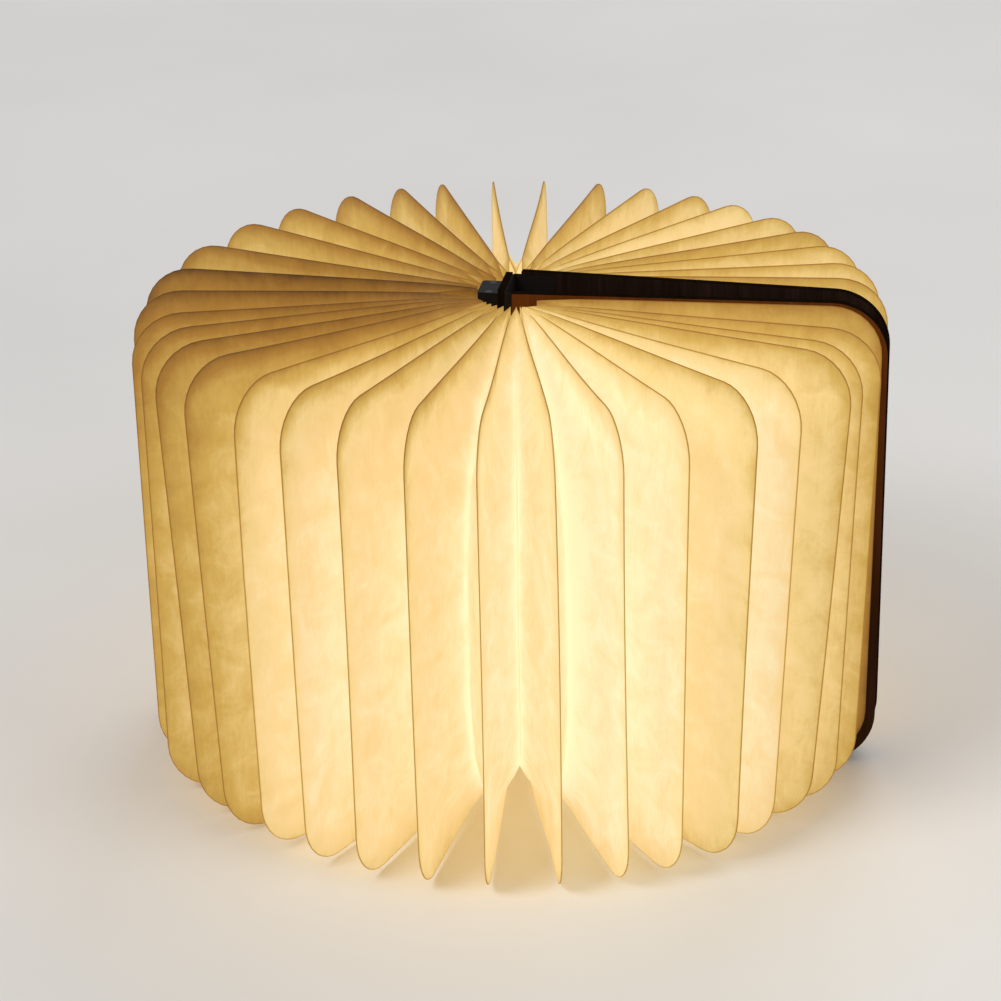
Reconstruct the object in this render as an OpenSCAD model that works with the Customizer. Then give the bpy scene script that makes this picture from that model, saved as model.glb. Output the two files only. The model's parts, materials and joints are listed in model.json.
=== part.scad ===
// Folding book lamp: an accordion of pleats between two wooden covers, opened all the way round.
// The covers hinge on the two outer corners of the spine board, and the pleats stand round the
// lamp core behind it. Frame: +Z up, the book stands on z = 0, the origin is the centre of the
// spine board's bottom end, and the covers point to +X with the front cover on the -Y side.

/* [Covers and spine] */
// Length of a cover from its hinge line to its fore-edge
cover_l = 163; // [120:1:200]
// Height of the covers and the spine board
cover_h = 215; // [150:1:260]
// Thickness of a cover board
cover_t = 4; // [3.4:0.1:5]
// Radius of a cover's two fore-edge corners
cover_r = 24; // [6:1:40]
// Distance between the two hinge lines, the closed book's thickness
spine_w = 25; // [23:0.5:32]
// Thickness of the spine board
spine_t = 3; // [2:0.1:4]
// Gap between the spine board and a closed cover's back edge
groove = 0.5; // [0.3:0.1:2]
// Angle by which each cover passes the straight-back position at rest
open_lean = 2.9; // [1:0.1:3.2]

/* [Hinge cloth] */
// Thickness of the book cloth
cloth_t = 0.3; // [0.2:0.05:0.5]
// Reach of the cloth along each cover from the hinge line
cloth_reach = 18; // [10:1:30]
// Distance from the cloth to the board's top and bottom edges
cloth_inset = 1; // [0.5:0.5:5]
// Distance from a hinge line to the start of its cloth
cloth_start = 0.4; // [0.3:0.1:1]

/* [Pleats] */
// Number of pleats, half of them carried with each cover
pleat_count = 36; // [20:2:36]
// Distance from a cover's edges to the pleats' edges
leaf_margin = 3; // [1:0.5:8]
// Radius of a pleat's two outer corners
leaf_r = 22; // [5:1:35]
// Thickness of the sheet
sheet_t = 0.15; // [0.08:0.01:0.16]
// Space between the two leaves of a folded pleat
leaf_gap = 0.06; // [0.02:0.01:0.08]
// Material left behind the outer fold
fold_back = 0.4; // [0.2:0.1:1]
// Thickness of an end leaf with its adhesive
end_leaf_t = 0.3; // [0.15:0.05:0.35]
// Clearance between the closed pleats and an end leaf
stack_clear = 0.1; // [0.05:0.01:0.2]
// Clearance between a pleat's inner end and the inner fold beside it
fold_clear = 0.15; // [0.1:0.01:0.3]

/* [Fan] */
// Clearance between the lamp core and the inner ends of the pleats
root_clear = 1.8; // [1.6:0.1:3]
// Forward shift of the oval that the inner folds stand on
oval_shift = 4.5; // [2:0.1:6]
// How far that oval bulges beyond the covers' inner faces
oval_bulge = 3.5; // [2.5:0.1:5]
// How far the inner folds gather towards the covers along that oval, in degrees
oval_gather = 24; // [0:1:26]
// How far the pleats gather towards the covers, in degrees
fan_gather = 1.9; // [0:0.1:3]
// How unevenly the pleats share the fan, in degrees
fan_waver = 1.7; // [0:0.1:2]

/* [Lamp core] */
// Depth of the core behind the spine board
core_depth = 9.5; // [8.5:0.1:12]
// Clearance between the core and a closed cover
core_side_clear = 0.6; // [0.5:0.1:1.2]
// Wall of the core's housing
core_wall = 1.2; // [0.8:0.1:1.4]
// Half width of the battery channel's outside
channel_half_w = 4; // [3.6:0.1:4.3]
// Radius of the housing's two corners towards the pleats
nose_r = 1.5; // [1:0.1:1.6]
// Distance from the book's ends to the core's end caps
core_margin = 3; // [1:0.5:8]
// Thickness of an end cap's plate
cap_t = 2; // [1.6:0.1:3]
// Depth of the spigot under an end cap
spigot_h = 3; // [2:0.5:4]
// Length of the solid block at each end of the light troughs
end_block = 8; // [7:0.5:12]
// Assembly clearance between the core's pieces
fit_clear = 0.1; // [0.05:0.01:0.2]

/* [Light strips] */
// Thickness of a light strip's board
strip_t = 0.8; // [0.6:0.1:1]
// Number of light-emitting diodes on each strip
led_count = 18; // [8:1:20]
// Width of a diode along the strip
led_w = 3.5; // [2:0.1:4]
// Width of a diode across the strip
led_d = 2.8; // [1.5:0.1:4]
// Height of a diode
led_h = 0.8; // [0.4:0.1:1]
// Thickness of a diffuser
diffuser_t = 1.2; // [0.8:0.1:1.4]
// Depth of a diffuser's tongue in the housing's wall
tongue_d = 0.5; // [0.3:0.1:0.7]
// Thickness of a diffuser's tongue
tongue_t = 0.4; // [0.3:0.1:0.6]

/* [Power] */
// Length of the battery cell
cell_l = 115; // [60:1:125]
// Length of the control board
board_l = 44; // [30:1:46]
// Thickness of the control board
board_t = 1; // [0.6:0.1:1.2]
// Width of the charging socket's shell
socket_w = 8.9; // [7:0.1:9]
// Thickness of the charging socket's shell
socket_t = 3.2; // [2.4:0.1:3.4]
// Length of the charging socket's shell
socket_l = 7.3; // [6:0.1:7.8]
// Wall of the charging socket's shell
socket_wall = 0.3; // [0.2:0.05:0.4]
// Radius of the reed switch's glass tube
reed_r = 0.9; // [0.6:0.1:1]
// Length of the reed switch's glass tube
reed_l = 10; // [7:0.5:14]

/* [Magnets and screws] */
// Radius of a magnet
magnet_r = 3; // [2:0.1:4]
// Thickness of a magnet
magnet_t = 2; // [1:0.1:2.4]
// Clearance round a magnet in its pocket
magnet_clear = 0.1; // [0.05:0.01:0.2]
// Distance from the fore-edge to the closing magnets
magnet_inset = 8; // [6:0.5:20]
// Distance between the closing magnets
magnet_pitch = 68; // [30:1:70]
// Distance from the front hinge line to the switch magnet
switch_magnet_x = 9; // [8:0.5:12]
// Shank radius of an end cap screw
screw_r = 0.8; // [0.6:0.05:1]
// Head radius of an end cap screw
screw_head_r = 1.6; // [1.3:0.1:1.8]
// Length of an end cap screw
screw_l = 8; // [5:0.5:8.5]

/* [Hidden] */
$fn = 48;
ARC_STEPS = 8;
hinge_x = spine_t / 2;
hinge_y = spine_w / 2;
close_angle = 180 + open_lean;
board_half_w = hinge_y - 2 * cloth_t;
cover_start = spine_t + groove;
leaf_h = cover_h - 2 * leaf_margin;
pleat_t = 2 * sheet_t + leaf_gap;
core_half_w = hinge_y - cover_t - core_side_clear;
root_inset = spine_t + core_depth + root_clear;
leaf_l = cover_l - root_inset - leaf_margin;
// the oval of the inner folds: its open ends lie as far from the hinge plane as its nose
oval_half_w = hinge_y + cover_t + oval_bulge;
oval_a = root_inset + oval_shift;
oval_start = acos((root_inset - oval_shift) / oval_a);
core_back = -spine_t;
core_nose = core_back - core_depth;
core_mid = (core_back + core_nose) / 2;
trough_w = core_depth - 2 * core_wall;
core_z = core_margin + cap_t;
core_h = cover_h - 2 * core_z;
strip_l = core_h - 2 * end_block - 2 * fit_clear;
strip_z = core_z + end_block + fit_clear;
channel_in = channel_half_w - core_wall;
screw_y = (channel_half_w + core_half_w) / 2;
pocket_depth = magnet_t + magnet_clear;
socket_z = core_margin + 0.2;
cell_z = core_z + end_block + 4;
cell_r = 1;
board_z = core_z + core_h - end_block - board_l;
board_y = 0.6;
reed_z = board_z + board_l / 2 + 6;
thread_clear = 0.03;

function pleat_name(k) = str("pleat_", k < 10 ? "0" : "", k);
PLEATS = [for (k = [1:pleat_count]) pleat_name(k)];

// ---- the fan: where each pleat stands and points at rest ----

// fan angle of pleat k, turning from +X through -Y; 0 and pleat_count + 1 are the end leaves
function fan_angle(k) =
    let (share = k / (pleat_count + 1))
    -open_lean + share * (360 + 2 * open_lean)
    - fan_gather * sin(360 * share) - fan_waver * sin(900 * share);
function fan_dir(a) = [cos(a), -sin(a)];
function fan_side(a) = [-sin(a), -cos(a)];
// inner end of pleat k, in the hinge plane's frame
function root(k) =
    let (share = k / (pleat_count + 1),
         t = oval_start + share * (360 - 2 * oval_start) - oval_gather * sin(360 * share))
    [oval_shift + oval_a * cos(t), -oval_half_w * sin(t)];
// the front end leaf's start, carried on the front cover's inner face
function end_root() =
    let (d = cover_t + end_leaf_t / 2)
    [root_inset * cos(open_lean) + d * sin(open_lean),
     -hinge_y + root_inset * sin(open_lean) - d * cos(open_lean)];
// inner end, angle and half thickness of station k; the first and the last are the end leaves
function station(k) =
    k == 0 ? [end_root(), -open_lean, end_leaf_t / 2] :
    k == pleat_count + 1 ? [[end_root()[0], -end_root()[1]], 360 + open_lean, end_leaf_t / 2] :
    [root(k), fan_angle(k), pleat_t / 2];
// corner of a station's inner end, pulled in by d, on its side towards (+1) or away from (-1) k + 1
function root_corner(s, side, d) = s[0] + side * s[2] * fan_side(s[1]) - d * fan_dir(s[1]);

function arc(c, r, a0, a1) = [for (i = [0:ARC_STEPS]) let (a = a0 + (a1 - a0) * i / ARC_STEPS)
    [c[0] + r * cos(a), c[1] + r * sin(a)]];

// ---- shared shapes ----

module in_frame() { translate([hinge_x, 0, 0]) children(); }
// a cover's own frame: x runs from its hinge line, y = 0 is its outer face, -y its inner side
module on_front_cover() { in_frame() translate([0, -hinge_y, 0]) rotate(open_lean) children(); }
module on_rear_cover() { mirror([0, 1, 0]) on_front_cover() children(); }
// stands an outline drawn in x and z upright, with its thickness from y = 0 to -t
module upright(t) { rotate([90, 0, 0]) linear_extrude(t) children(); }

module fore_rounded(x0, x1, h, r) {
    translate([x0, 0]) square([x1 - x0 - r, h]);
    translate([x0, r]) square([x1 - x0, h - 2 * r]);
    for (z = [r, h - r]) translate([x1 - r, z]) circle(r);
}

module leaf_outline(l) {
    polygon(concat([[0, 0]], arc([l - leaf_r, leaf_r], leaf_r, -90, 0),
        arc([l - leaf_r, leaf_h - leaf_r], leaf_r, 0, 90), [[0, leaf_h]]));
}

// ---- covers, spine and cloth ----

module magnet_places(switch) {
    for (i = [-1:1]) translate([cover_l - magnet_inset, 0, cover_h / 2 + i * magnet_pitch]) children();
    if (switch) translate([switch_magnet_x, 0, reed_z]) children();
}

module cover_board(switch) {
    difference() {
        upright(cover_t) fore_rounded(cover_start, cover_l, cover_h, cover_r);
        // rebate for the hinge cloth in the outer face
        translate([0, -cloth_t, cloth_inset - fit_clear])
            cube([cloth_reach + fit_clear, cloth_t + 1, cover_h - 2 * cloth_inset + 2 * fit_clear]);
        magnet_places(switch) translate([0, -cover_t + pocket_depth, 0]) rotate([90, 0, 0])
            cylinder(r = magnet_r + magnet_clear, h = pocket_depth + 1);
    }
}

module cover_magnets(switch) {
    magnet_places(switch) translate([0, -cover_t + pocket_depth, 0]) rotate([90, 0, 0])
        cylinder(r = magnet_r, h = magnet_t);
}

module hinge_cloth() {
    translate([cloth_start, -cloth_t, cloth_inset])
        cube([cloth_reach - cloth_start, cloth_t, cover_h - 2 * cloth_inset]);
}

module end_leaf() { translate([root_inset, -cover_t, leaf_margin]) upright(end_leaf_t) leaf_outline(leaf_l); }

module front_cover_board() { color([0.16, 0.09, 0.05]) on_front_cover() cover_board(true); }
module rear_cover_board() { color([0.16, 0.09, 0.05]) on_rear_cover() cover_board(false); }
module front_cover_magnets() { color("silver") on_front_cover() cover_magnets(true); }
module rear_cover_magnets() { color("silver") on_rear_cover() cover_magnets(false); }
module front_hinge_cloth() { color([0.1, 0.06, 0.04]) on_front_cover() hinge_cloth(); }
module rear_hinge_cloth() { color([0.1, 0.06, 0.04]) on_rear_cover() hinge_cloth(); }
module front_end_leaf() { color([0.97, 0.86, 0.6]) on_front_cover() end_leaf(); }
module rear_end_leaf() { color([0.97, 0.86, 0.6]) on_rear_cover() end_leaf(); }

module spine_board() {
    color([0.16, 0.09, 0.05]) in_frame()
        translate([core_back, -board_half_w, 0]) cube([spine_t, 2 * board_half_w, cover_h]);
}

module spine_cloth() {
    color([0.1, 0.06, 0.04]) in_frame()
        translate([0, cloth_t - hinge_y, cloth_inset])
            cube([cloth_t, 2 * (hinge_y - cloth_t), cover_h - 2 * cloth_inset]);
}

// ---- pleats ----

// a pleat folded flat: two leaves joined at the outer fold and open towards the core
module pleat_blank() {
    difference() {
        translate([0, pleat_t / 2, 0]) upright(pleat_t) leaf_outline(leaf_l);
        translate([-1, -leaf_gap / 2, -1]) cube([leaf_l - fold_back + 1, leaf_gap, leaf_h + 2]);
    }
}

module pleat(k) {
    color([0.97, 0.86, 0.6]) in_frame()
        translate([root(k)[0], root(k)[1], leaf_margin]) rotate(-fan_angle(k)) pleat_blank();
}

// the turned-in fold that joins station k to station k + 1 at rest
module inner_fold(k) {
    a = station(k);
    b = station(k + 1);
    translate([0, 0, leaf_margin]) linear_extrude(leaf_h)
        polygon([root_corner(a, 1, fold_clear), root_corner(b, -1, fold_clear),
            root_corner(b, -1, fold_clear + sheet_t), root_corner(a, 1, fold_clear + sheet_t)]);
}

module front_inner_folds() {
    color([0.97, 0.86, 0.6]) in_frame() for (k = [0:pleat_count / 2 - 1]) inner_fold(k);
}

module rear_inner_folds() {
    color([0.97, 0.86, 0.6]) in_frame() for (k = [pleat_count / 2:pleat_count]) inner_fold(k);
}

// ---- lamp core ----

module core_outline() {
    difference() {
        translate([core_nose, -core_half_w]) square([core_depth, 2 * core_half_w]);
        for (s = [-1, 1]) translate([core_nose + nose_r, s * (core_half_w - nose_r)]) difference() {
            translate([-nose_r - 1, s > 0 ? 0 : -nose_r - 1]) square([nose_r + 1, nose_r + 1]);
            circle(nose_r);
        }
    }
}

module both_sides() { children(); mirror([0, 1, 0]) children(); }

// the housing's section: a battery channel, with or without a light trough on each side
module core_profile(troughs) {
    difference() {
        core_outline();
        translate([core_nose + core_wall, -channel_in]) square([trough_w, 2 * channel_in]);
        if (troughs) both_sides() {
            translate([core_nose + core_wall, channel_half_w])
                square([trough_w, core_half_w - channel_half_w + 1]);
            translate([core_nose + core_wall - tongue_d, core_half_w - diffuser_t])
                square([trough_w + 2 * tongue_d, tongue_t + fit_clear]);
        }
    }
}

module rounded_rect(w, d, r) {
    square([w - 2 * r, d], center = true);
    square([w, d - 2 * r], center = true);
    for (x = [-1, 1], y = [-1, 1]) translate([x * (w / 2 - r), y * (d / 2 - r)]) circle(r);
}

module socket_pocket(clear) {
    translate([core_mid, 0, 0]) cube([socket_t + 2 * clear, socket_w + 2 * clear,
        2 * (socket_z + socket_l + clear)], center = true);
}

// each end cap screw's place, standing on the cap's outer face with the shank up into the core
module at_screws() {
    both_sides() translate([core_mid, screw_y, core_margin]) children();
}

module turned_over() { translate([0, 0, cover_h]) mirror([0, 0, 1]) children(); }

module screw_shape(grow) {
    cylinder(r = screw_r + grow, h = screw_l + grow);
    cylinder(r1 = screw_head_r + grow, r2 = screw_r + grow, h = screw_head_r - screw_r);
}

module core_housing() {
    color([0.07, 0.07, 0.07]) in_frame() difference() {
        union() {
            translate([0, 0, core_z + end_block]) linear_extrude(core_h - 2 * end_block)
                core_profile(true);
            for (z = [core_z, core_z + core_h - end_block])
                translate([0, 0, z]) linear_extrude(end_block) core_profile(false);
        }
        socket_pocket(fit_clear);
        at_screws() cylinder(r = screw_r + thread_clear, h = screw_l + 0.5);
        turned_over() at_screws() cylinder(r = screw_r + thread_clear, h = screw_l + 0.5);
    }
}

// an end cap, drawn for the bottom end: plate, spigot into the battery channel and screw holes
module end_cap() {
    difference() {
        union() {
            translate([0, 0, core_margin]) linear_extrude(cap_t) core_outline();
            translate([core_nose + core_wall + fit_clear, fit_clear - channel_in, core_margin])
                cube([trough_w - 2 * fit_clear, 2 * (channel_in - fit_clear), cap_t + spigot_h]);
        }
        at_screws() screw_shape(fit_clear);
    }
}

module bottom_end_cap() {
    color([0.07, 0.07, 0.07]) in_frame() difference() {
        end_cap();
        socket_pocket(fit_clear);
    }
}

module top_end_cap() { color([0.07, 0.07, 0.07]) in_frame() turned_over() end_cap(); }

module end_cap_screws() {
    color("dimgray") in_frame() {
        at_screws() screw_shape(0);
        turned_over() at_screws() screw_shape(0);
    }
}

module diffuser() {
    translate([core_mid, 0, strip_z]) {
        translate([-trough_w / 2 + fit_clear, core_half_w - diffuser_t, 0])
            cube([trough_w - 2 * fit_clear, diffuser_t, strip_l]);
        translate([-trough_w / 2 - tongue_d + fit_clear, core_half_w - diffuser_t, 0])
            cube([trough_w + 2 * (tongue_d - fit_clear), tongue_t, strip_l]);
    }
}

module rear_diffuser() { color([1, 0.95, 0.85]) in_frame() diffuser(); }
module front_diffuser() { color([1, 0.95, 0.85]) in_frame() mirror([0, 1, 0]) diffuser(); }

module light_strip_boards() {
    color("white") in_frame() both_sides()
        translate([core_nose + core_wall + fit_clear, channel_half_w, strip_z])
            cube([trough_w - 2 * fit_clear, strip_t, strip_l]);
}

module light_diodes() {
    led_pitch = strip_l / led_count;
    color([1, 0.85, 0.4]) in_frame() both_sides() for (i = [0:led_count - 1])
        translate([core_mid - led_d / 2, channel_half_w + strip_t,
            strip_z + (i + 0.5) * led_pitch - led_w / 2]) cube([led_d, led_h, led_w]);
}

// ---- power and switching ----

module battery_cell() {
    color("silver") in_frame() translate([core_mid, 0, cell_z]) linear_extrude(cell_l)
        rounded_rect(trough_w - 2 * fit_clear, 2 * (channel_in - fit_clear), cell_r);
}

module control_board() {
    chip_t = 0.9;
    color("darkgreen") in_frame() translate([core_mid, board_y, board_z]) {
        translate([-trough_w / 2 + fit_clear, 0, 0]) cube([trough_w - 2 * fit_clear, board_t, board_l]);
        // charge controller, driver and choke
        translate([-2, -chip_t, 4]) cube([4, chip_t, 4]);
        translate([-1.5, -chip_t, board_l - 8]) cube([3, chip_t, 3]);
        translate([0, 0, 12]) rotate([90, 0, 0]) cylinder(r = 1.8, h = 2 * chip_t);
    }
}

module reed_switch() {
    color("lightcyan") in_frame() translate([core_mid, board_y - reed_r - fit_clear / 2, reed_z - reed_l / 2])
        cylinder(r = reed_r, h = reed_l);
}

module charging_socket() {
    shell_in = socket_t - 2 * socket_wall;
    color("silver") in_frame() translate([core_mid, 0, socket_z]) {
        difference() {
            linear_extrude(socket_l) rounded_rect(socket_t, socket_w, socket_t / 2 - 0.1);
            translate([0, 0, -1]) linear_extrude(socket_l - socket_wall + 1)
                rounded_rect(shell_in, socket_w - 2 * socket_wall, shell_in / 2 - 0.1);
        }
        translate([-0.35, -socket_w / 2 + 1.2, 1]) cube([0.7, socket_w - 2.4, socket_l - 1 - socket_wall / 2]);
    }
}

front_cover_board();
rear_cover_board();
spine_board();
spine_cloth();
front_hinge_cloth();
rear_hinge_cloth();
front_end_leaf();
rear_end_leaf();
front_cover_magnets();
rear_cover_magnets();
front_inner_folds();
rear_inner_folds();
core_housing();
front_diffuser();
rear_diffuser();
light_strip_boards();
light_diodes();
battery_cell();
control_board();
charging_socket();
reed_switch();
top_end_cap();
bottom_end_cap();
end_cap_screws();
for (k = [1:pleat_count]) pleat(k);
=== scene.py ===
"""Looks of the folding book lamp: glowing pleats, walnut covers, book cloth and the black light core."""
import json
import math
from collections import namedtuple

import bmesh
import bpy
import numpy as np
from mathutils import Matrix, Vector


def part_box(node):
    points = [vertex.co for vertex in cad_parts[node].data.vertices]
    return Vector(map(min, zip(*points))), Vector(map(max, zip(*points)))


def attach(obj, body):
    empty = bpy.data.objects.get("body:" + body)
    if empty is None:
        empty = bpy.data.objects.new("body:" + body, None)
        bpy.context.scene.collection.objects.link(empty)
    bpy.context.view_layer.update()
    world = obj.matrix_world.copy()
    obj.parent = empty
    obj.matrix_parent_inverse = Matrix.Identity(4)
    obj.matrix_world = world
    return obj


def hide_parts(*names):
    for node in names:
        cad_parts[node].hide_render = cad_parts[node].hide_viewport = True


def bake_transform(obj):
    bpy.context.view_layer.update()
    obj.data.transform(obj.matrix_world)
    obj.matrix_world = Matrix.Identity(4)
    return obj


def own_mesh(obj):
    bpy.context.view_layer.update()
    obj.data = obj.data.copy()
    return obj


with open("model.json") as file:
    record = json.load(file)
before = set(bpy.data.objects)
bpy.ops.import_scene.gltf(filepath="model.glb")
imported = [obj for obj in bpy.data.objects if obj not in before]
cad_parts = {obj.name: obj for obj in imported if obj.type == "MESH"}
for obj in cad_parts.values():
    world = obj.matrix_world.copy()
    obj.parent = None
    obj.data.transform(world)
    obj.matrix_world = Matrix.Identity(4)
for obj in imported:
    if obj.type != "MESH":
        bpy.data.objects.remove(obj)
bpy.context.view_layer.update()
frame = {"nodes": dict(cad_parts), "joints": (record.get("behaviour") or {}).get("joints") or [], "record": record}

MM = 0.001
NODES = frame["nodes"]
PLEATS = sorted(name for name in NODES if name.startswith("pleat_"))
REAR_END = len(PLEATS) + 1    # the rear end leaf's number: the front one is 0 and the pleats count from 1
core_low, core_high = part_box("core_housing")
CORE_CENTRE = np.array(((core_low + core_high) / 2)[:2])

# ---- the camera, as fitted to the photograph ----
CAM_TARGET = (-2.9 * MM, 0.0, 112.7 * MM)
CAM_DISTANCE = 1568.3 * MM
CAM_ELEVATION = 22.876
CAM_TURN = 9.215
CAM_ROLL = -0.492
CAM_FOCAL_PX = 3568.9
IMAGE_PX = 1001
SENSOR = 36.0

# ---- the pleated sheet ----
SHEET_T = 0.16 * MM
FOLD_HALF_W = 0.14 * MM       # half the width of an outer fold
FOLD_START = 10 * MM          # how far out a pleat is first that wide
LEAF_R = 22 * MM              # radius of a pleat's outer corners
MOUTH = 17 * MM               # over how much of its length a pleat closes at its top edge
TOUCH_TOP = 2 * MM            # how far out neighbouring pleats touch at their top edges
TOUCH_LOW = 34 * MM           # how far out most of them touch at their bottom edges
OPEN_VALLEYS = (8, 28)        # the pleats that stay clear of the next one at their bottom edges
TOUCH_MID = 105 * MM          # how far out they touch halfway up
TOUCH_RISE = 22 * MM          # over how much height the touching line moves out
NESTLE = 0.96                 # how much of the way to its neighbour a touching leaf bulges
TAPER = 1.1                   # the power by which a leaf's bulge tapers beyond the touching line
PARTING = 60 * MM             # over how much length the two leaves draw apart where the fan's halves part
END_ROOT = 15 * MM            # over how much length a leaf beside an end leaf comes away from it
WAVER = 1.2 * MM              # how far a pleat bends out of its plane
REACH_TOP = 3.0 * MM          # how much further than its CAD solid a pleat reaches at its top
REACH_LOW = -5.0 * MM         # and at its bottom
TOP_CUT = 1.5 * MM            # how far a leaf's top edge sinks at its inner end
LOW_CUT = 7 * MM              # and how far its bottom edge rises there
END_RISE = 1.8 * MM           # how much higher an end leaf reaches than its CAD solid
HANG = 2 * MM                 # how far a leaf hangs down at its outer bottom corner

# ---- the grid of a leaf ----
TOUCH_COLUMNS = 9             # columns inside the touching line
COLUMNS = 9                   # columns between that line and the corner arcs
ARC_COLUMNS = 9               # columns in the corner arcs
EDGE_ROWS = (0, 0.4, 1.2, 3, 6, 10, 16)   # heights of the rows near the top and bottom edge, in mm
MID_ROWS = 15                 # rows between them

# ---- how single pleats stray, in mm: to the right at the top and bottom of the outer fold, outwards at ----
# ---- its top and bottom, to the right along the inner end, and upwards at the top of the outer fold ----
Stray = namedtuple("Stray", "top low out_top out_low root rise", defaults=(0,) * 6)
STRAY = {
    0: Stray(out_top=-2.2, out_low=3.6),
    1: Stray(out_top=1, out_low=2),
    2: Stray(rise=2),
    3: Stray(8.4, 3.4, 2.5, -3, rise=3.2),
    4: Stray(0.8, -0.1, 0, -3, rise=3.2),
    5: Stray(2, 1.1, rise=3),
    6: Stray(-2.8, -0.3, root=0.5, rise=2),
    7: Stray(-2.5, 3.3, root=1.5, rise=1.5),
    8: Stray(-1.3, 3.3, root=2, rise=0.5),
    9: Stray(-1.8, -1.4, root=2, rise=0.5),
    10: Stray(-2.6, -0.2, root=1.2, rise=1.8),
    11: Stray(-2.4, -0.4, root=0.5, rise=3),
    12: Stray(-0.8, 1.6, rise=3.2),
    13: Stray(3, 2.2, 0, -1, rise=3.6),
    14: Stray(-6, 6.4, -1.5, 0.9, rise=2),
    15: Stray(-3.5, 12, 0.5, 0.6, root=2, rise=1),
    16: Stray(1, 10, -1, 4, root=4),
    17: Stray(8, 8, -0.5, 2.8, root=6),
    18: Stray(6, 8, -1, 2, root=7),
    19: Stray(-4, -6, 0, 2, root=-1.2),
    20: Stray(2, 0, 0, 2, root=-3.5),
    21: Stray(9, root=-3.5),
    22: Stray(11, root=-2.5),
    23: Stray(12, root=-1.5),
    24: Stray(9),
    25: Stray(1.5),
    26: Stray(-1.2),
    27: Stray(-3),
    28: Stray(-1.5),
    29: Stray(-0.2),
    30: Stray(1.7),
    31: Stray(2.2),
    32: Stray(6),
    33: Stray(6),
    34: Stray(5),
    35: Stray(6),
    36: Stray(3),
    37: Stray(out_top=-2.2, out_low=3.6),
}

# ---- painted light and shade of single pleats: how much more brightly than the others they are painted to glow ----
PAINTED_PLEAT_GLOW = {3: -0.03, 4: 0.04, 5: -0.05, 6: 0.06, 7: 0.06, 10: -0.01, 12: 0.03, 14: -0.09, 16: 0.02, 17: 0.10,
        19: -0.06, 21: 0.03, 22: -0.07, 23: -0.12, 24: -0.05, 25: -0.06, 28: -0.10, 29: 0.04, 30: -0.02,
        31: 0.04, 33: -0.04}
TONE_STRAY = 0.02             # how much more than that one leaf of a pleat may glow, and the other less

# ---- the sheet's painted glow: its colour and light, by how brightly it is painted to glow ----
GLOW_STOPS = (
    (0.0, (0.05, 0.02, 0.003)), (0.2, (0.25, 0.11, 0.015)), (0.4, (0.418, 0.212, 0.034)),
    (0.6, (0.638, 0.418, 0.10)), (0.75, (0.88, 0.66, 0.28)), (0.85, (0.973, 0.738, 0.376)),
    (1.0, (1.0, 0.93, 0.64)))
# Painted shade: over this width the leaves' free edges are painted to glow less.
RIM_PAINTED_SHADE = 6 * MM             # over how much width a leaf's free edges glow less

# ---- covers and cloth ----
BOARD_BEVEL = 0.5 * MM
CLOTH_T = 0.3 * MM
CLOTH_BEND = 1.2 * MM         # how far from a hinge line the cloth starts to bend, on each side of it
CLOTH_ROWS = 44
SMOOTH_ANGLE = 60             # a sharper edge than this, in degrees, is drawn as an edge


def camera():
    """The camera at the photograph's viewing angle, turned about its own axis by the roll."""
    turn, elevation, roll = (math.radians(a) for a in (CAM_TURN, CAM_ELEVATION, CAM_ROLL))
    back = Vector((math.sin(turn) * math.cos(elevation), -math.cos(turn) * math.cos(elevation),
                   math.sin(elevation)))
    right = (-back).cross(Vector((0, 0, 1))).normalized()
    up = right.cross(-back)
    rolled_right = right * math.cos(roll) + up * math.sin(roll)
    rolled_up = up * math.cos(roll) - right * math.sin(roll)
    data = bpy.data.cameras.new("camera")
    data.sensor_width = SENSOR
    data.lens = CAM_FOCAL_PX / IMAGE_PX * SENSOR
    data.clip_start, data.clip_end = 0.05, 50
    cam = bpy.data.objects.new("camera", data)
    turned = Matrix((rolled_right, rolled_up, back)).transposed().to_4x4()
    cam.matrix_world = Matrix.Translation(Vector(CAM_TARGET) + back * CAM_DISTANCE) @ turned
    bpy.context.scene.collection.objects.link(cam)
    bpy.context.scene.camera = cam


# ---- materials ----

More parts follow.
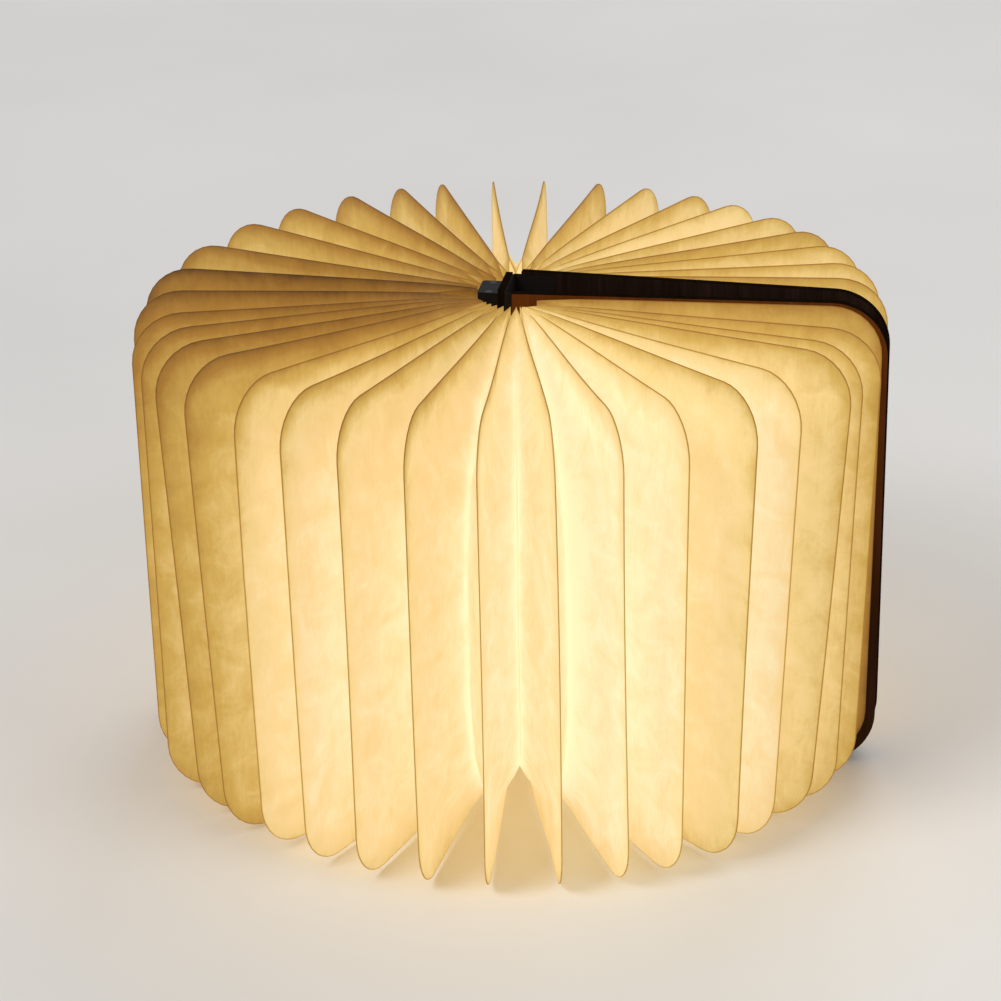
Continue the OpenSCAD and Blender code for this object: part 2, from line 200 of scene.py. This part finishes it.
class Nodes:
    """A material's node tree, with short ways to add and join nodes."""

    def __init__(self, name):
        self.material = bpy.data.materials.new(name)
        self.material.use_nodes = True
        self.tree = self.material.node_tree
        self.shader = self.tree.nodes["Principled BSDF"]

    def add(self, kind, inputs=None, **settings):
        node = self.tree.nodes.new(kind)
        for key, value in settings.items():
            setattr(node, key, value)
        for key, value in (inputs or {}).items():
            self.set(node.inputs[key], value)
        return node

    def set(self, socket, value):
        if isinstance(value, bpy.types.NodeSocket):
            self.tree.links.new(value, socket)
        else:
            socket.default_value = value

    def math(self, operation, a, b=0.0, clamp=False):
        return self.add("ShaderNodeMath", {0: a, 1: b}, operation=operation, use_clamp=clamp).outputs[0]

    def attribute(self, name, output="Fac"):
        return self.add("ShaderNodeAttribute", attribute_name=name).outputs[output]

    def place(self):
        """The point's place at rest, in metres."""
        return self.add("ShaderNodeTexCoord").outputs["Object"]

    def stretch(self, vector, scale):
        return self.add("ShaderNodeMapping", {"Vector": vector, "Scale": scale}).outputs[0]

    def noise(self, vector, scale, detail=3.0, roughness=0.5, distortion=0.0):
        return self.add("ShaderNodeTexNoise", {
            "Vector": vector, "Scale": scale, "Detail": detail, "Roughness": roughness,
            "Distortion": distortion}).outputs[0]

    def ramp(self, value, stops):
        node = self.add("ShaderNodeValToRGB", {"Fac": value})
        elements = node.color_ramp.elements
        while len(elements) < len(stops):
            elements.new(0.5)
        for element, (position, colour) in zip(elements, stops):
            element.position = position
            element.color = (*colour, 1)
        return node.outputs[0]

    def span(self, value, low, high, to_low=0.0, to_high=1.0):
        return self.add("ShaderNodeMapRange", {
            0: value, 1: low, 2: high, 3: to_low, 4: to_high}).outputs[0]

    def bump(self, height, distance, strength):
        node = self.add("ShaderNodeBump", {"Height": height, "Distance": distance, "Strength": strength})
        self.set(self.shader.inputs["Normal"], node.outputs[0])

    def finish(self, **sockets):
        for key, value in sockets.items():
            self.set(self.shader.inputs[key.replace("_", " ")], value)
        return self.material


def sheet_material():
    """Spunbonded sheet lit from within, with that light painted on: a painted glow, in its colour and its
    emission, mottled by its felted fibres.
    """
    n = Nodes("pleat_sheet")
    coords = n.attribute("sheet", "Vector")
    clouds = n.noise(coords, 70, 5, 0.62, 0.6)
    fibres = n.noise(n.stretch(coords, (520, 90, 1)), 1, 5, 0.65, 0.8)
    grain = n.noise(coords, 900, 2, 0.6)
    mottle = n.math("MULTIPLY", n.math("SUBTRACT", clouds, 0.5), 0.26)
    mottle = n.math("ADD", mottle, n.math("MULTIPLY", n.math("SUBTRACT", fibres, 0.5), 0.10))
    glow = n.math("ADD", n.attribute("glow"), mottle)
    # Along the free edges the glow drops to 0.6: partly the cut edge's own darker colour, partly painted shade
    # from the gap at the folds.
    edge = n.span(n.attribute("rim"), 0.0001, 0.0006, 0.6, 1.0)
    glow = n.math("MULTIPLY", glow, edge, clamp=True)
    colour = n.ramp(glow, GLOW_STOPS)
    height = n.math("ADD", n.math("MULTIPLY", fibres, 0.7), n.math("MULTIPLY", grain, 0.3))
    n.bump(height, 0.00012, 0.6)
    # The base colour is the painted glow's colour at half strength, so where less glow is painted the sheet's
    # colour is painted darker too: painted shade.
    base = n.add("ShaderNodeMix", {0: 1.0, 6: colour, 7: (0.5, 0.5, 0.5, 1)}, data_type="RGBA",
                 blend_type="MULTIPLY").outputs[2]
    n.material.cycles.emission_sampling = "NONE"
    return n.finish(Base_Color=base, Roughness=0.78, Emission_Color=colour, Emission_Strength=0.58)


def wood_material():
    """Dark walnut with its grain along the height, near black on the narrow edges as painted shade, and browner on
    the faces towards the fan, more so higher up, as painted light from the fan.
    """
    n = Nodes("cover_wood")
    place = n.place()
    grain = n.noise(n.stretch(place, (160, 160, 9)), 1, 6, 0.6, 1.2)
    pores = n.noise(n.stretch(place, (1500, 1500, 60)), 1, 2, 0.5)
    tone_and_painted_glow = n.math("ADD", n.math("MULTIPLY", grain, 0.8), n.math("MULTIPLY", pores, 0.25))
    face = n.ramp(tone_and_painted_glow, ((0.30, (0.008, 0.004, 0.003)), (0.55, (0.022, 0.011, 0.007)),
                         (0.75, (0.045, 0.021, 0.012))))
    # Painted light: the brown that the fan's glow casts on the faces towards it.
    inner = n.ramp(tone_and_painted_glow, ((0.30, (0.08, 0.021, 0.003)), (0.75, (0.13, 0.038, 0.007))))
    # Painted shade: the narrow edges near black.
    edge = n.ramp(tone_and_painted_glow, ((0.30, (0.003, 0.002, 0.001)), (0.75, (0.012, 0.006, 0.003))))
    height = n.add("ShaderNodeSeparateXYZ", {0: place}).outputs[2]
    # Painted fan light: only on the faces towards the fan, and stronger higher up.
    painted_fan_light = n.math("MULTIPLY", n.attribute("inner"), n.span(height, 0.06, 0.20, 0.15, 1.0))
    colour = n.add("ShaderNodeMix", {0: painted_fan_light, 6: face, 7: inner}, data_type="RGBA").outputs[2]
    # Painted shade on the narrow edges.
    colour = n.add("ShaderNodeMix", {0: n.attribute("edge"), 6: colour, 7: edge}, data_type="RGBA").outputs[2]
    n.bump(tone_and_painted_glow, 0.00015, 0.5)
    return n.finish(Base_Color=colour, Roughness=n.span(tone_and_painted_glow, 0.2, 0.8, 0.62, 0.48), Specular_IOR_Level=0.0)


def cloth_material():
    """Book cloth: a fine plain weave, near black."""
    n = Nodes("hinge_cloth")
    place = n.place()
    warp = n.add("ShaderNodeTexWave", {"Vector": place, "Scale": 500.0, "Distortion": 1.0},
                 bands_direction="Z").outputs["Fac"]
    weft = n.add("ShaderNodeTexWave", {"Vector": place, "Scale": 420.0, "Distortion": 1.0},
                 bands_direction="DIAGONAL").outputs["Fac"]
    weave = n.math("MULTIPLY", n.math("ADD", warp, weft), 0.5)
    colour = n.ramp(weave, ((0.2, (0.004, 0.0025, 0.002)), (0.8, (0.014, 0.008, 0.005))))
    n.bump(weave, 0.0001, 0.6)
    return n.finish(Base_Color=colour, Roughness=0.85, Specular_IOR_Level=0.15)


def mottled(name, dark, light, scale, roughness, **sockets):
    """A hard material whose colour, roughness and bump vary a little with a fine noise."""
    n = Nodes(name)
    noise = n.noise(n.place(), scale, 4, 0.6)
    colour = n.ramp(noise, ((0.35, dark), (0.65, light)))
    n.bump(noise, 0.00003, 0.4)
    return n.finish(Base_Color=colour, Roughness=n.span(noise, 0.3, 0.7, roughness - 0.06, roughness + 0.06),
                    **sockets)


def hard_materials():
    """The materials of the CAD nodes that stay, by slot."""
    return {
        "core_black": mottled("core_black", (0.003, 0.003, 0.003), (0.008, 0.007, 0.006), 900, 0.6,
                              Specular_IOR_Level=0.12),
        "diffuser": mottled("diffuser", (0.80, 0.74, 0.62), (0.90, 0.84, 0.72), 400, 0.45,
                            Emission_Color=(1.0, 0.78, 0.45, 1), Emission_Strength=1.0),
        "strip_board": mottled("strip_board", (0.72, 0.72, 0.70), (0.82, 0.82, 0.80), 700, 0.5),
        "diode": mottled("diode", (0.85, 0.62, 0.18), (0.95, 0.75, 0.30), 1500, 0.35,
                         Emission_Color=(1.0, 0.75, 0.4, 1), Emission_Strength=1.5),
        "cell_foil": mottled("cell_foil", (0.52, 0.53, 0.55), (0.66, 0.67, 0.69), 250, 0.38, Metallic=0.9),
        "circuit_board": mottled("circuit_board", (0.010, 0.075, 0.030), (0.018, 0.11, 0.045), 600, 0.45),
        "socket_steel": mottled("socket_steel", (0.55, 0.55, 0.56), (0.68, 0.68, 0.69), 800, 0.3,
                                Metallic=1.0),
        "reed_glass": mottled("reed_glass", (0.62, 0.72, 0.68), (0.75, 0.84, 0.80), 500, 0.12),
        "screw_steel": mottled("screw_steel", (0.015, 0.015, 0.015), (0.03, 0.03, 0.03), 1200, 0.4,
                               Metallic=1.0),
        "magnet": mottled("magnet", (0.50, 0.50, 0.51), (0.64, 0.64, 0.65), 900, 0.3, Metallic=1.0),
    }


# ---- meshes ----

def mesh_object(name, points, faces, material):
    """An object with a new mesh, shaded smooth but for its sharp edges."""
    mesh = bpy.data.meshes.new(name)
    mesh.from_pydata([tuple(p) for p in points], [], [tuple(f) for f in faces])
    mesh.update()
    mesh.polygons.foreach_set("use_smooth", [True] * len(mesh.polygons))
    mesh.set_sharp_from_angle(angle=math.radians(SMOOTH_ANGLE))
    mesh.materials.append(material)
    obj = bpy.data.objects.new(name, mesh)
    bpy.context.scene.collection.objects.link(obj)
    return obj


def set_values(obj, name, values):
    """Writes a number, or a vector, for each point of obj's mesh."""
    values = np.asarray(values, np.float32)
    kind, key = ("FLOAT", "value") if values.ndim == 1 else ("FLOAT_VECTOR", "vector")
    obj.data.attributes.new(name, kind, "POINT").data.foreach_set(key, values.ravel())


def shell(grid, thickness):
    """Points and faces of a closed sheet of that thickness round a grid of points (columns, rows, 3)."""
    columns, rows = grid.shape[:2]
    along, across = np.gradient(grid, axis=0), np.gradient(grid, axis=1)
    normal = np.cross(along, across)
    normal /= np.maximum(np.linalg.norm(normal, axis=2, keepdims=True), 1e-12)
    points = np.concatenate([(grid + normal * thickness / 2).reshape(-1, 3),
                             (grid - normal * thickness / 2).reshape(-1, 3)])
    count = columns * rows
    index = np.arange(count).reshape(columns, rows)
    a, b, c, d = index[:-1, :-1], index[1:, :-1], index[1:, 1:], index[:-1, 1:]
    front = np.stack([a, b, c, d], -1).reshape(-1, 4)
    rim = np.concatenate([index[:, 0], index[-1, 1:], index[-2::-1, -1], index[0, -2:0:-1]])
    after = np.roll(rim, -1)
    sides = np.stack([rim, rim + count, after + count, after], -1)
    return points, np.concatenate([front, front[:, ::-1] + count, sides])


# ---- the fan ----

class Place:
    """Where a pleat or an end leaf stands, read from its CAD mesh: inner end, direction, length, heights."""

    def __init__(self, node):
        points = np.array([v.co for v in NODES[node].data.vertices])
        plan = points[:, :2]
        centre = (plan.min(0) + plan.max(0)) / 2
        direction = np.linalg.svd(plan - plan.mean(0), full_matrices=False)[2][0]
        direction *= np.sign(direction @ (centre - CORE_CENTRE))
        side = np.array([direction[1], -direction[0]])
        along, across = (plan - centre) @ direction, (plan - centre) @ side
        self.direction, self.side = direction, side
        self.root = centre + direction * along.min() + side * (across.min() + across.max()) / 2
        self.length = along.max() - along.min()
        self.low, self.high = points[:, 2].min(), points[:, 2].max()


def fade(distance, width):
    """1 at no distance, and less the further away, over a width."""
    return np.exp(-distance / width)


def touch_line(up, down, low):
    """How far from their inner ends neighbouring pleats touch, at a height given from top and bottom."""
    return (TOUCH_MID - (TOUCH_MID - TOUCH_TOP) * fade(up, TOUCH_RISE)
            - (TOUCH_MID - low) * fade(down, TOUCH_RISE))


def leaf_layout(place, low):
    """Distance from the inner end and height of each point of a leaf, as grids of columns by rows."""
    full = place.high - place.low
    edge = np.array(EDGE_ROWS) * MM
    middle = np.linspace(edge[-1], full - edge[-1], MID_ROWS)[1:-1]
    share = np.concatenate([edge, middle, (full - edge)[::-1]]) / full
    touch = touch_line(full * (1 - share), full * share, low)
    start = place.length - LEAF_R
    inner = np.linspace(0, 1, TOUCH_COLUMNS)[:-1, None] * touch
    outer = touch + np.linspace(0, 1, COLUMNS)[:-1, None] * (start - touch)
    turn = np.linspace(0, math.pi / 2, ARC_COLUMNS)[:, None]
    reach = np.concatenate([inner, outer, start + LEAF_R * np.sin(turn) + 0 * touch])
    corner = np.concatenate([0 * inner, 0 * outer, LEAF_R * (1 - np.cos(turn)) + 0 * touch])
    bottom = corner + LOW_CUT * fade(reach, 30 * MM)
    top = corner + TOP_CUT * fade(reach, 10 * MM)
    return reach, place.low + bottom + share * (full - bottom - top)


def rim_distance(reach, height, place):
    """Distance of a leaf's point from its free edge."""
    up, down, out = place.high - height, height - place.low, place.length - reach
    straight = np.minimum(np.minimum(up, down), out)
    corner = np.minimum(up, down)
    inside = LEAF_R - np.hypot(LEAF_R - corner, LEAF_R - out)
    return np.where((corner < LEAF_R) & (out < LEAF_R), inside, straight)


def step(value, low, high):
    """0 below low, 1 above high, smooth between."""
    share = min(1.0, max(0.0, (value - low) / (high - low)))
    return share * share * (3 - 2 * share)


def leaf_glow(place, reach, height, rim, low, tone_and_painted_glow):
    """How brightly a leaf is painted to glow, as painted light and shade: most where pleats touch, least along its
    free edges and at its top, and less for pleats by where they stand as seen from the camera's turn.
    """
    up, down = place.high - height, height - place.low
    turn = math.radians(CAM_TURN)
    right = place.direction @ (math.cos(turn), math.sin(turn))
    ahead = place.direction @ (math.sin(turn), -math.cos(turn))
    left = step(-right, -0.2, 0.5)
    outside = reach - touch_line(up, down, low)
    # Painted light: brighter along the line where neighbouring pleats touch, and a little brighter inside it.
    glow = 0.87 + tone_and_painted_glow + 0.10 * fade(np.abs(outside), 4 * MM) + 0.05 * fade(np.maximum(outside, 0), 30 * MM)
    # Painted shade along the free edges, more so towards the top, and on the top of the pleats on the left.
    glow -= 0.10 * fade(rim, RIM_PAINTED_SHADE)
    glow -= (0.15 + 0.09 * left) * fade(rim, RIM_PAINTED_SHADE) * fade(up, 45 * MM)
    glow -= 0.12 * left * fade(up, 30 * MM)
    # Painted shade next to the core's top, along the bottom, and on the outer bottom corners that point at the
    # viewer.
    glow -= 0.15 * fade(up, 10 * MM) * fade(reach, 12 * MM)
    glow -= 0.05 * fade(down, 15 * MM)
    glow -= 0.25 * fade(down, 9 * MM) * fade(place.length - reach, 12 * MM) * step(ahead, 0.96, 1.0)
    # Painted shade on whole pleats: on the far left, at the back and on the far right.
    glow -= 0.21 * step(-right, 0.72, 0.90) + 0.10 * step(-right, 0.93, 1.0) + 0.09 * step(-ahead, 0.5, 1.0)
    glow -= 0.10 * step(right, 0.70, 0.92) + 0.14 * step(right, 0.93, 1.0) * step(ahead, 0.0, 0.1)
    return glow


def bend(s, t, phase, amount):
    """How far a pleat waves sideways, at share s of its length and t of its height."""
    belly = np.sin(math.pi * s) * np.cos(2 * math.pi * (0.45 * t + phase[0]))
    curl = s ** 2 * np.sin(2 * math.pi * (0.6 * t + phase[1])) * 0.5
    ripple = np.sin(2 * math.pi * s) * np.cos(2 * math.pi * (0.9 * t + phase[2])) * 0.45
    return amount * (belly + curl + ripple)


def middle_surface(place, number, reach, height, phase, amount):
    """The surface halfway between a pleat's two leaves, as plan points for a grid of reach and height."""
    s, t = reach / place.length, (height - place.low) / (place.high - place.low)
    rightwards = place.side * np.sign(place.side[0])
    top, low, out_top, out_low, root, _ = (value * MM for value in STRAY[number])
    across = (low + (top - low) * t) * s + root * (1 - s) + bend(s, t, phase, amount)
    out_top, out_low = out_top + REACH_TOP, out_low + REACH_LOW
    along = reach + (out_low + (out_top - out_low) * t) * s
    return place.root + along[..., None] * place.direction + across[..., None] * rightwards


def way_to_neighbour(number, other, middle, beside, reach):
    """The way from a pleat's middle surface to the surface where its leaf meets the next pleat's leaf."""
    if other in (0, REAR_END):
        return (beside - middle) / 2 * (1 + np.maximum(0, 1 - reach / END_ROOT))[..., None]
    if number + other == REAR_END:
        # The front and rear halves part here and fold to their own sides of the plane between them, so these
        # two leaves meet on that plane, and only near their inner fold.
        return middle * (0, -1) * fade(reach, PARTING)[..., None]
    return (beside - middle) / 2


def leaf_grid(place, middle, halfway, reach, height, low, rise, tone_and_painted_glow):
    """One leaf as a grid of points that bulge towards its neighbour, and the values at each point."""
    up, down = place.high - height, height - place.low
    touch = touch_line(up, down, low)
    closing = MOUTH + (place.length - TOUCH_MID - MOUTH) * touch / TOUCH_MID
    spread = np.linalg.norm(halfway, axis=2)
    towards = halfway / spread[..., None]
    beyond = np.clip((reach - touch) / closing, 0, 1)
    at_touch = spread * touch / np.maximum(reach, touch)
    bulge = NESTLE * np.where(reach <= touch, spread, at_touch) * (1 - beyond) ** TAPER
    bulge = np.where(reach <= 0, spread, bulge)
    bulge = np.maximum(bulge, FOLD_HALF_W * np.minimum(1, reach / FOLD_START))
    plan = middle + towards * bulge[..., None]
    lift = (rise * down - HANG * up) / (up + down) * (reach / place.length) ** 2
    grid = np.concatenate([plan, (height + lift)[..., None]], axis=2)
    rim = rim_distance(reach, height, place)
    # The third number gives each leaf a part of the noise of its own.
    side = np.sign(halfway[-1, 0] @ place.side)
    sheet = np.stack([reach, height, np.full_like(height, side + 9 * tone_and_painted_glow)], -1)
    return grid, sheet, rim, leaf_glow(place, reach, height, rim, low, tone_and_painted_glow)


def sheet_piece(name, grid, sheet, rim, glow, material):
    """A piece of the sheet round a grid of points, with the values that its material reads at each."""
    points, faces = shell(grid, SHEET_T)
    piece = mesh_object(name, points, faces, material)
    for key, values in (("sheet", sheet), ("rim", rim), ("glow", glow)):
        flat = values.reshape(-1, 3) if values.ndim == 3 else values.ravel()
        set_values(piece, key, np.concatenate([flat, flat]))
    return piece


def fan(material):
    """All the pleats, each of two leaves from the inner folds beside it to its outer fold."""
    rng = np.random.default_rng(7)
    places = [Place("front_end_leaf"), *(Place(name) for name in PLEATS), Place("rear_end_leaf")]
    waves = [(rng.uniform(0, 1, 3), WAVER * rng.uniform(0.4, 1.0), rng.uniform(-TONE_STRAY, TONE_STRAY))
             for _ in places]

    def surface(number, reach, height):
        """The middle surface of a pleat or an end leaf, which is flat."""
        phase, amount, _ = waves[number]
        if number in (0, REAR_END):
            amount = 0
        return middle_surface(places[number], number, reach, height, phase, amount)

    for number, name in enumerate(PLEATS, 1):
        place, leaves = places[number], []
        # The painted light and shade of this pleat, with a random difference between its two leaves.
        own, unlike, rise = PAINTED_PLEAT_GLOW.get(number, 0), waves[number][2], STRAY[number].rise * MM
        for other, tone_and_painted_glow in ((number - 1, own + unlike), (number + 1, own - unlike)):
            low = TOUCH_TOP if min(number, other) in OPEN_VALLEYS else TOUCH_LOW
            reach, height = leaf_layout(place, low)
            middle, beside = surface(number, reach, height), surface(other, reach, height)
            halfway = way_to_neighbour(number, other, middle, beside, reach)
            leaves.append(leaf_grid(place, middle, halfway, reach, height, low, rise, tone_and_painted_glow))
        grid, sheet, rim, glow = (np.concatenate([near, far[::-1]]) for near, far in zip(*leaves))
        piece = sheet_piece(name + "_sheet", grid, sheet, rim, glow, material)
        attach(piece, name)
        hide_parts(name)
        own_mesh(piece)
        if number == 1:
            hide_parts("front_inner_folds")
        if number == len(PLEATS):
            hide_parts("rear_inner_folds")


def end_leaf(node, number, body, material):
    """The sheet's last leaf, glued flat to a cover."""
    place = Place(node)
    reach, height = leaf_layout(place, TOUCH_LOW)
    plan = middle_surface(place, number, reach, height, (0, 0, 0), 0)
    share = (height - place.low) / (place.high - place.low)
    grid = np.concatenate([plan, (height + END_RISE * share)[..., None]], axis=2)
    rim = rim_distance(reach, height, place)
    # Painted shade: the leaf glows less along its free edges, the more so the lower they are.
    glow = leaf_glow(place, reach, height, rim, TOUCH_LOW, 0) - 0.4 * fade(rim, RIM_PAINTED_SHADE) * (1 - share)
    piece = sheet_piece(node + "_sheet", grid, np.stack([reach, height, 0 * reach], -1), rim, glow, material)
    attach(piece, body)
    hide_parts(node)


# ---- covers, cloth and core ----

def board(node, body, bevel, fan_side, material):
    """A copy of a wooden board with its edges rounded, which then stands for the node."""
    mesh = NODES[node].data.copy()
    mesh.name = body
    bm = bmesh.new()
    bm.from_mesh(mesh)
    bmesh.ops.remove_doubles(bm, verts=bm.verts, dist=1e-6)
    bmesh.ops.dissolve_limit(bm, angle_limit=math.radians(1), verts=bm.verts, edges=bm.edges)
    sharp = [e for e in bm.edges if len(e.link_faces) == 2 and e.calc_face_angle(0) > math.radians(30)]
    bmesh.ops.bevel(bm, geom=sharp, offset=bevel, offset_type="OFFSET", segments=3, profile=0.6,
                    affect="EDGES", clamp_overlap=True)
    bm.to_mesh(mesh)
    bm.free()
    mesh.polygons.foreach_set("use_smooth", [True] * len(mesh.polygons))
    mesh.set_sharp_from_angle(angle=math.radians(35))
    broad = max(mesh.polygons, key=lambda p: p.area).normal.copy()
    # The narrow faces, where the wood material paints near-black shade.
    narrow = [float(abs(p.normal.dot(broad)) < 0.95) for p in mesh.polygons]
    mesh.attributes.new("edge", "FLOAT", "FACE").data.foreach_set("value", narrow)
    # The faces towards the fan, where the wood material paints the fan's light.
    towards_fan = [float(p.normal.dot(Vector(fan_side)) > 0.9) for p in mesh.polygons]
    mesh.attributes.new("inner", "FLOAT", "FACE").data.foreach_set("value", towards_fan)
    mesh.materials.clear()
    mesh.materials.append(material)
    piece = bpy.data.objects.new(body, mesh)
    bpy.context.scene.collection.objects.link(piece)
    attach(piece, body)
    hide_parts(node)


def hinge_cloth(side, material):
    """Half of the book cloth: from the middle of the spine round the hinge and on to one cover."""
    body, node = ("front_cover", "front_hinge_cloth") if side < 0 else ("rear_cover", "rear_hinge_cloth")
    spine_low, spine_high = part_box("spine_cloth")
    joint = next(j for j in frame["joints"] if j["name"] == body + "_hinge")
    hinge = Vector(joint["pos_m"][:2])
    direction = Vector(Place("front_end_leaf" if side < 0 else "rear_end_leaf").direction)
    inward = Vector((-direction.y, direction.x)) * -side
    reach = (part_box(node)[1].x - hinge.x) / direction.x
    on_spine, on_cover = hinge.x + CLOTH_T / 2, hinge + inward * CLOTH_T * -0.5
    bend_start = hinge.y - side * CLOTH_BEND
    path = [Vector((on_spine, y)) for y in np.linspace(0, bend_start, 8)]
    path += [Vector((on_spine, hinge.y - side * CLOTH_BEND * share)) for share in (0.75, 0.5)]
    path += [on_cover + direction * CLOTH_BEND * share for share in (0.5, 0.75)]
    path += [on_cover + direction * float(distance) for distance in np.linspace(CLOTH_BEND, reach, 12)]
    heights = np.linspace(spine_low.z, spine_high.z, CLOTH_ROWS)
    grid = np.array([[(point.x, point.y, z) for z in heights] for point in path])
    points, faces = shell(grid, CLOTH_T * 0.9)
    piece = mesh_object(body + "_book_cloth", points, faces, material)
    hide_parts(node)
    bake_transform(piece)
    return piece


def stage():
    """A plain pale floor."""
    n = Nodes("floor")
    colour = n.ramp(n.noise(n.place(), 3, 3), ((0.3, (0.74, 0.72, 0.69)), (0.7, (0.80, 0.78, 0.75))))
    half = 6.0
    corners = [(-half, -half, 0), (half, -half, 0), (half, half, 0), (-half, half, 0)]
    mesh_object("floor", corners, [(0, 1, 2, 3)], n.finish(Base_Color=colour, Roughness=0.6))


def area_light(name, place, size, power):
    """A round lamp that points at the middle of the object."""
    data = bpy.data.lights.new(name, "AREA")
    data.shape, data.size, data.energy = "DISK", size, power
    light = bpy.data.objects.new(name, data)
    light.matrix_world = (Matrix.Translation(Vector(place))
                          @ (Vector(place) - Vector(CAM_TARGET)).to_track_quat("Z", "Y").to_matrix().to_4x4())
    bpy.context.scene.collection.objects.link(light)


def lights():
    """Three soft lamps and a pale world."""
    area_light("key_light", (-1.6, -2.0, 2.6), 1.6, 48)
    area_light("fill_light", (2.4, -1.2, 1.8), 2.0, 22)
    area_light("back_light", (0.4, 2.4, 2.2), 1.6, 20)
    world = bpy.data.worlds.new("world")
    bpy.context.scene.world = world
    world.use_nodes = True
    background = world.node_tree.nodes["Background"]
    background.inputs["Color"].default_value = (0.95, 0.97, 1.0, 1)
    background.inputs["Strength"].default_value = 0.45


camera()
sheet = sheet_material()
fan(sheet)
end_leaf("front_end_leaf", 0, "front_cover", sheet)
end_leaf("rear_end_leaf", REAR_END, "rear_cover", sheet)

wood = wood_material()
board("front_cover_board", "front_cover", BOARD_BEVEL, (0, -1, 0), wood)
board("rear_cover_board", "rear_cover", BOARD_BEVEL, (0, 1, 0), wood)
board("spine_board", "spine", BOARD_BEVEL / 2, (-1, 0, 0), wood)

cloth = cloth_material()
front_cloth = hinge_cloth(-1, cloth)
hinge_cloth(1, cloth)
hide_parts("spine_cloth")
stage()
lights()

hard = hard_materials()
for part in frame["record"]["subparts"]:
    node = NODES[part["node"]]
    if not node.hide_render:
        node.data.materials.clear()
        node.data.materials.append(hard[part["material_slot"]])

bpy.context.scene.view_settings.view_transform = "Standard"
